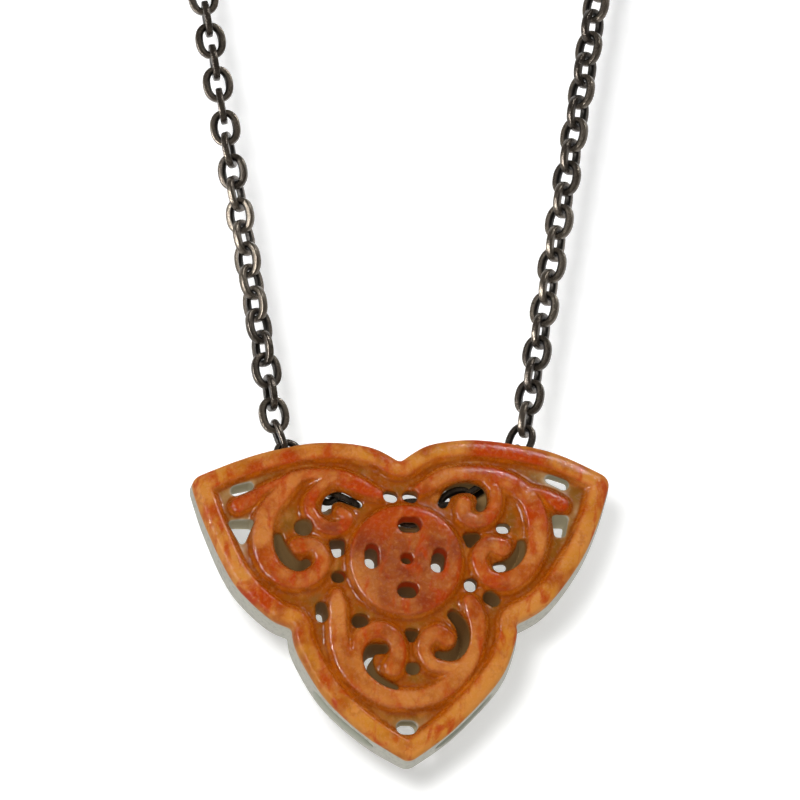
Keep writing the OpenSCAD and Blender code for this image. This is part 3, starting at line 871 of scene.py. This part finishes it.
# %% Line and turn of the links
LINK_L, WIRE_D, PLAY = 3.83, 0.67, 0.14
SIDE_LINKS, INNER_LINKS = 95, 7
LEAN, MOUTH_ANGLE, MOUTH_R = radians(9.6), radians(54), 9.0
CLASP_L, CLASP_W, CLASP_D = 11.0, 4.8, 1.1
# columns: distance along the chain, turn in degrees
LEFT_TWIST = [(12, 0), (22.5, 16), (25, 33), (34, 47), (44, 66), (53, 90)]
RIGHT_TWIST = [(4, 0), (15, 18), (22, 28), (44, 34), (53, 42), (75, 42), (125, 0)]

PITCH = LINK_L - 2 * WIRE_D - PLAY
HALF_LOOP = (SIDE_LINKS - 0.5) * PITCH + (CLASP_L + LINK_L) / 2 - CLASP_D - WIRE_D - PLAY
HANG = pi / 2 - LEAN
BORE_END = BORE_ARC_R * MOUTH_ANGLE
BEND_END = BORE_END + MOUTH_R * (HANG - MOUTH_ANGLE)
BEND_X = BORE_ARC_R * sin(MOUTH_ANGLE) + MOUTH_R * (sin(HANG) - sin(MOUTH_ANGLE))
BEND_Z = BORE_ARC_R * (1 - cos(MOUTH_ANGLE)) + MOUTH_R * (cos(MOUTH_ANGLE) - cos(HANG))
TOP_TURN = pi - HANG
SIDE_L = (HALF_LOOP - BEND_END - TOP_TURN * BEND_X / cos(LEAN)) / (1 + TOP_TURN * tan(LEAN))
TOP_R = (BEND_X + SIDE_L * sin(LEAN)) / cos(LEAN)
LOOP_H = BEND_Z + SIDE_L * cos(LEAN) + TOP_R * (1 + sin(LEAN))
LOW_Z = CLASP_D / 2 + ((CLASP_L - CLASP_D) / 2) ** 2 / (2 * TOP_R) - LOOP_H


# %% Along the chain
def chain_line(s):
    """Place beside and above the lowest point, and heading, at a distance along the chain."""
    if s < BORE_END:
        a = s / BORE_ARC_R
        return BORE_ARC_R * sin(a), BORE_ARC_R * (1 - cos(a)), a
    if s < BEND_END:
        a = MOUTH_ANGLE + (s - BORE_END) / MOUTH_R
        beside = BEND_X - MOUTH_R * (sin(HANG) - sin(a))
        return beside, BEND_Z - MOUTH_R * (cos(a) - cos(HANG)), a
    if s < BEND_END + SIDE_L:
        along = s - BEND_END
        return BEND_X + along * sin(LEAN), BEND_Z + along * cos(LEAN), HANG
    a = HANG + (s - BEND_END - SIDE_L) / TOP_R
    return TOP_R * sin(a), LOOP_H - TOP_R * (1 + cos(a)), a


def link_turn(k, side, s):
    """Turn of a link about the chain's line in degrees."""
    twist = np.array(RIGHT_TWIST if side > 0 else LEFT_TWIST, float)
    quarter_turns = k if side > 0 else k + 1
    return 90 * quarter_turns - float(np.interp(s, *twist.T))


print("half of the loop:", round(HALF_LOOP, 1), "mm; lowest point: z =", round(LOW_Z, 2), "mm")

# %% [markdown]
# ## Links with filed faces
#
# Each link is bent from round wire and soldered, and then the whole chain is drawn between
# stones that file its faces flat. So a link's section is a square with round corners, swept
# along an oval. The links in the bore are rounder and thinner at their ends, which leaves them
# room when the stone swings. Instances would be lighter, but only a plain mesh is carried over.

# %% Sweeping a section along an oval
def squarish(share, half_x, half_y, power):
    """A closed curve between an ellipse (power 2) and a rectangle (high power)."""
    angle = 2 * pi * share
    x, y = np.cos(angle), np.sin(angle)
    return half_x * np.sign(x) * abs(x) ** (2 / power), half_y * np.sign(y) * abs(y) ** (2 / power)


def ring(length, width, ends, sides, height, section_power, path_power=2.25, along=32, around=16):
    """Points, quads and inward share of a closed wire round an oval hole, in the XY plane.

    The wire may be thicker at the oval's sides than at its ends. The powers square up the oval
    and the wire's section; along and around count the points.
    """
    outer = np.stack(squarish(np.arange(along) / along, length / 2, width / 2, path_power), axis=1)
    way = np.roll(outer, -1, axis=0) - np.roll(outer, 1, axis=0)
    way /= np.hypot(*way.T)[:, None]
    outward = np.stack([way[:, 1], -way[:, 0]], axis=1)
    thick = ends + (sides - ends) * outward[:, 1] ** 2
    out, up = squarish((np.arange(around) + 0.5) / around, 0.5, height / 2, section_power)
    across = (out[None, :] - 0.5) * thick[:, None]
    flat = outer[:, None, :] + outward[:, None, :] * across[:, :, None]
    rise = np.broadcast_to(up[None, :, None], (along, around, 1))
    points = np.concatenate([flat, rise], axis=2).reshape(-1, 3)
    i, j = np.meshgrid(np.arange(along), np.arange(around), indexing="ij")
    next_i, next_j = (i + 1) % along, (j + 1) % around
    quads = np.stack([i * around + j, next_i * around + j, next_i * around + next_j,
                      i * around + next_j], axis=-1)
    inward = np.broadcast_to(0.5 - out, (along, around)).ravel()
    return points, quads.reshape(-1, 4), inward


FILED_LINK = ring(LINK_L, 3.12, ends=WIRE_D, sides=0.8, height=0.7, section_power=4.2)
ROUNDER_LINK = ring(LINK_L, 3.05, ends=0.6, sides=0.76, height=0.64, section_power=2.4)
print("a link has", 2 * len(FILED_LINK[1]), "triangles")


# %% [markdown]
# Each link is turned about the chain's line and then to the line's heading. It also gets a tone
# of its own at random, for the finish.

# %% Putting the links in place
def turned(points, tilt, heading):
    """Points turned about X by one angle and then about Y by another, both in radians."""
    x, y, z = points.T
    c, s = cos(tilt), sin(tilt)
    y, z = y * c - z * s, y * s + z * c
    c, s = cos(heading), sin(heading)
    return np.stack([x * c + z * s, y, z * c - x * s], axis=1)


def links(name, chosen, shape, material):
    """One mesh of many links of one shape; each of them is given as (k, side)."""
    points, one_quads, inward = shape
    places = []
    for k, side in chosen:
        s = (k + 0.5) * PITCH
        beside, above, heading = chain_line(s)
        tilt = radians(90 + link_turn(k, side, s))
        places.append(turned(points, tilt, -side * heading) + (side * beside, 0, LOW_Z + above))
    quads = [one_quads + i * len(points) for i in range(len(places))]
    thing = mesh_of(name, np.vstack(places) * MM, np.vstack(quads), material)
    tones = np.random.default_rng(len(chosen)).random(len(places))
    store(thing, "tone", np.repeat(tones, len(points)))
    store(thing, "inward", np.tile(inward, len(places)))
    return thing


gunmetal = bpy.data.materials.new("dark steel")
inner, outer = range(INNER_LINKS), range(INNER_LINKS, SIDE_LINKS)
PARTS = {
    "chain_left": ([(k, -1) for k in outer], FILED_LINK, "chain"),
    "chain_right": ([(k, 1) for k in outer], FILED_LINK, "chain"),
    "chain_in_pendant": ([(k, side) for k in inner for side in (-1, 1)], ROUNDER_LINK, "pendant"),
}
for node, (chosen, shape, body) in PARTS.items():
    thing = links("filed_" + node, chosen, shape, gunmetal)
    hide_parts(node)
    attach(thing, body)
    print(thing.name, "has", len(chosen), "links")

# %% [markdown]
# ## The clasp
#
# The clasp at the nape is a plain stiff piece: a rim with an eye at each end for the last links,
# swept like a link, and a thin plate between them. A Bevel modifier rounds the plate, because a
# worn edge is what shows that it is metal.

# %% Rim and plate
PLATE_L, PLATE_T, PLATE_EDGE = 4.0, 0.8, 0.12
rim_points, rim_quads, rim_inward = ring(
    CLASP_L, CLASP_W, ends=CLASP_D, sides=CLASP_D, height=CLASP_D,
    section_power=2.4, path_power=2.6, along=96, around=24,
)
rim_points[:, 2] += CLASP_D / 2
rim = mesh_of("clasp_rim", rim_points * MM, rim_quads, gunmetal)
store(rim, "inward", rim_inward)

half = np.array([PLATE_L, CLASP_W - CLASP_D, PLATE_T]) / 2
signs = 2 * np.array(CELL_CORNERS) - 1
plate_quads = np.array(
    [(0, 1, 3, 2), (4, 6, 7, 5), (0, 4, 5, 1), (2, 3, 7, 6), (0, 2, 6, 4), (1, 5, 7, 3)]
)
plate = mesh_of("clasp_plate", (signs * half + (0, 0, CLASP_D / 2)) * MM, plate_quads, gunmetal)
bevel = plate.modifiers.new("worn edge", "BEVEL")
bevel.width = PLATE_EDGE * MM
bevel.segments = 3
bevel.harden_normals = True
apply_modifiers(plate)
for thing in (rim, plate):
    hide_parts("clasp")
    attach(thing, "chain")

# %% [markdown]
# ## Dark steel
#
# The chain was blackened and has been worn. The flat faces are rubbed to a warm brownish grey,
# while the inside of each link is nearly black: partly blackening that nothing rubs off, partly
# painted shade where the links hide each other. A share of each link's own tone keeps so many
# links from looking stamped. Full metal would only mirror the white room, so a third of it stays a
# dull dark coat.

# %% The chain's finish
def finish_gunmetal(material):
    """Blackened steel, rubbed on its faces, nearly black inside the links with painted shade."""
    tree, place = start_material(material)
    inward, tone = stored(tree, "inward"), stored(tree, "tone")
    smudges = noise(place, 2.2, 4.0, (4, 8, 15))
    scratches = noise(place, 9.0, 4.0, (2, 3, 5), 0.7)
    dark_share = (smudges * 0.7 + tone * 0.3).ramp(0.35, 0.65)
    # inside the links: blackening and painted shade
    inner_black_and_shade = inward.ramp(0.55, 0.8) * 0.95
    base = layered(tree, "645B50", ("3E3730", dark_share), ("14110D", inner_black_and_shade))
    bumps = scratches + smudges * 0.5
    normal = place.node("Bump", Strength=0.6, Distance=0.03 * MM, Height=bumps)
    shader = place.node(
        "BsdfPrincipled",
        Base_Color=base, Roughness=0.16 + smudges * 0.16 + inward * 0.1,
        Normal=normal, Metallic=0.65,
    )
    place.node("OutputMaterial", None, None, Surface=shader)


finish_gunmetal(gunmetal)

# %% [markdown]
# ## Camera
#
# The picture was taken from close by, a little from the left and from below, with the stone low
# in the frame and the chain running out at the top. Ten pixels are one millimetre at the stone's
# front, so 0.7 m away a long lens frames 80 mm.

# %% Place and lens of the camera
AZIMUTH, ELEVATION = radians(-4), radians(-14.3)
DISTANCE, FRAME_W = 700.0, 80.0
AIM_RIGHT, AIM_UP = -0.6, 15.9


def direction(azimuth, elevation):
    """The way from the object to a viewer or a lamp; azimuth 0 is in front of the carved side."""
    flat = cos(elevation)
    return np.array([sin(azimuth) * flat, -cos(azimuth) * flat, sin(elevation)])


back = direction(AZIMUTH, ELEVATION)
right = np.array([cos(AZIMUTH), sin(AZIMUTH), 0])
up_way = np.cross(back, right)
apex = np.array([DISC_X, FRONT_Y, DISC_Z])
eye = apex + right * AIM_RIGHT + up_way * AIM_UP + back * DISTANCE

camera_data = bpy.data.cameras.new("camera")
camera_data.lens = camera_data.sensor_width * DISTANCE / FRAME_W
camera = placed("camera", camera_data)
camera.location = eye * MM
camera.rotation_euler = (pi / 2 - ELEVATION, 0, AZIMUTH)
scene.camera = camera
print("camera at", camera.location[:], "with a lens of", round(camera_data.lens), "mm")

# %% [markdown]
# ## Studio
#
# The pendant hangs close before a white wall, above a pale floor. The wall glows a little, so
# that it stays white outside the shadows, and shows only its front, to leave the view from behind
# free.

# %% Wall and floor
WALL_Y, WALL_HALF, FLOOR_Z, FLOOR_HALF = 16.0, 1500.0, -1300.0, 4000.0
wall_paint = bpy.data.materials.new("white wall")
tree, place = start_material(wall_paint)
paint = place.node(
    "BsdfPrincipled",
    Base_Color=rgba("F8F8F8"), Roughness=1.0, IOR=1.0,
    Emission_Color=rgba("FFFFFF"), Emission_Strength=0.27,
)
clear = place.node("BsdfTransparent")
from_behind = place.node("NewGeometry", None, 6)
mixed = place.node("MixShader", i0=from_behind, i1=paint, i2=clear)
place.node("OutputMaterial", None, None, Surface=mixed)

floor_paint = bpy.data.materials.new("pale floor")
tree, place = start_material(floor_paint)
paint = place.node("BsdfDiffuse", Color=rgba("E9E8E5"))
place.node("OutputMaterial", None, None, Surface=paint)

CORNER_SIGNS = [(-1, -1), (1, -1), (1, 1), (-1, 1)]
wall_corners = [(x * WALL_HALF, WALL_Y, DISC_Z + z * WALL_HALF) for x, z in CORNER_SIGNS]
floor_corners = [(x * FLOOR_HALF, y * FLOOR_HALF, FLOOR_Z) for x, y in CORNER_SIGNS]
one_face = np.array([(0, 1, 2, 3)])
mesh_of("wall", np.array(wall_corners) * MM, one_face, wall_paint)
mesh_of("floor", np.array(floor_corners) * MM, one_face, floor_paint)

# %% [markdown]
# The key lamp stands a little left of the camera and above it, and throws the pale shadow to the
# right and down. Near the camera a lamp would mirror as a large pale patch in the polished front,
# so key and fill light without being mirrored. Panels and strips do the opposite: they are seen
# only as reflections. The tall thin strip draws the fine bright lines along the carved edges.

# %% Lamps
# columns: name, azimuth and elevation in degrees, distance, width, height, power, hidden from
LAMPS = [
    ("key", -11, -4, 700, 110, 110, 3.1, "mirrors"),
    ("fill", 10, 15, 1500, 1600, 1600, 11.4, "mirrors"),
    ("left panel", -80, 10, 900, 200, 200, 0.5, "matt surfaces"),
    ("right panel", 75, 30, 900, 200, 200, 0.3, "matt surfaces"),
    ("left strip", -62, -12, 500, 5, 420, 5.5, "matt surfaces"),
    ("upper strip", 40, 45, 500, 300, 5, 1.5, "matt surfaces"),
    ("behind", 160, 25, 1200, 600, 600, 12.0, "nothing"),
]
for name, azimuth, elevation, distance, width, height, power, hidden_from in LAMPS:
    data = bpy.data.lights.new(name, "AREA")
    data.shape = "RECTANGLE"
    data.size, data.size_y, data.energy = width * MM, height * MM, power
    lamp = placed(name, data)
    azimuth, elevation = radians(azimuth), radians(elevation)
    lamp.location = (stone_place + direction(azimuth, elevation) * distance) * MM
    lamp.rotation_euler = (pi / 2 - elevation, 0, azimuth)
    lamp.visible_glossy = hidden_from != "mirrors"
    lamp.visible_diffuse = hidden_from != "matt surfaces"
print(len(LAMPS), "lamps")

# %% [markdown]
# The sky lights weakly, so that it doesn't flatten the carving, but it looks pale to the camera
# where the wall doesn't reach. It is brighter on the left than on the right.

# %% Sky and colours
LIGHT_STRENGTH, SEEN_STRENGTH = 0.1, 0.75
world = bpy.data.worlds.new("studio")
scene.world = world
world.use_nodes = True
world.node_tree.nodes.clear()
way = add_node(world.node_tree, "TexCoord", output=0)
from_right = way.node("SeparateXYZ", Vector=way)
sky = layered(world.node_tree, "FFFFFF", ("B0B0B0", from_right.ramp(-0.8, 0.8)))
light = way.node("Background", Color=sky, Strength=LIGHT_STRENGTH)
backdrop = way.node("Background", Color=sky, Strength=SEEN_STRENGTH)
seen = way.node("LightPath")
both = way.node("MixShader", i0=seen, i1=light, i2=backdrop)
way.node("OutputWorld", None, None, Surface=both)
scene.view_settings.view_transform = "Standard"
scene.cycles.use_denoising = True
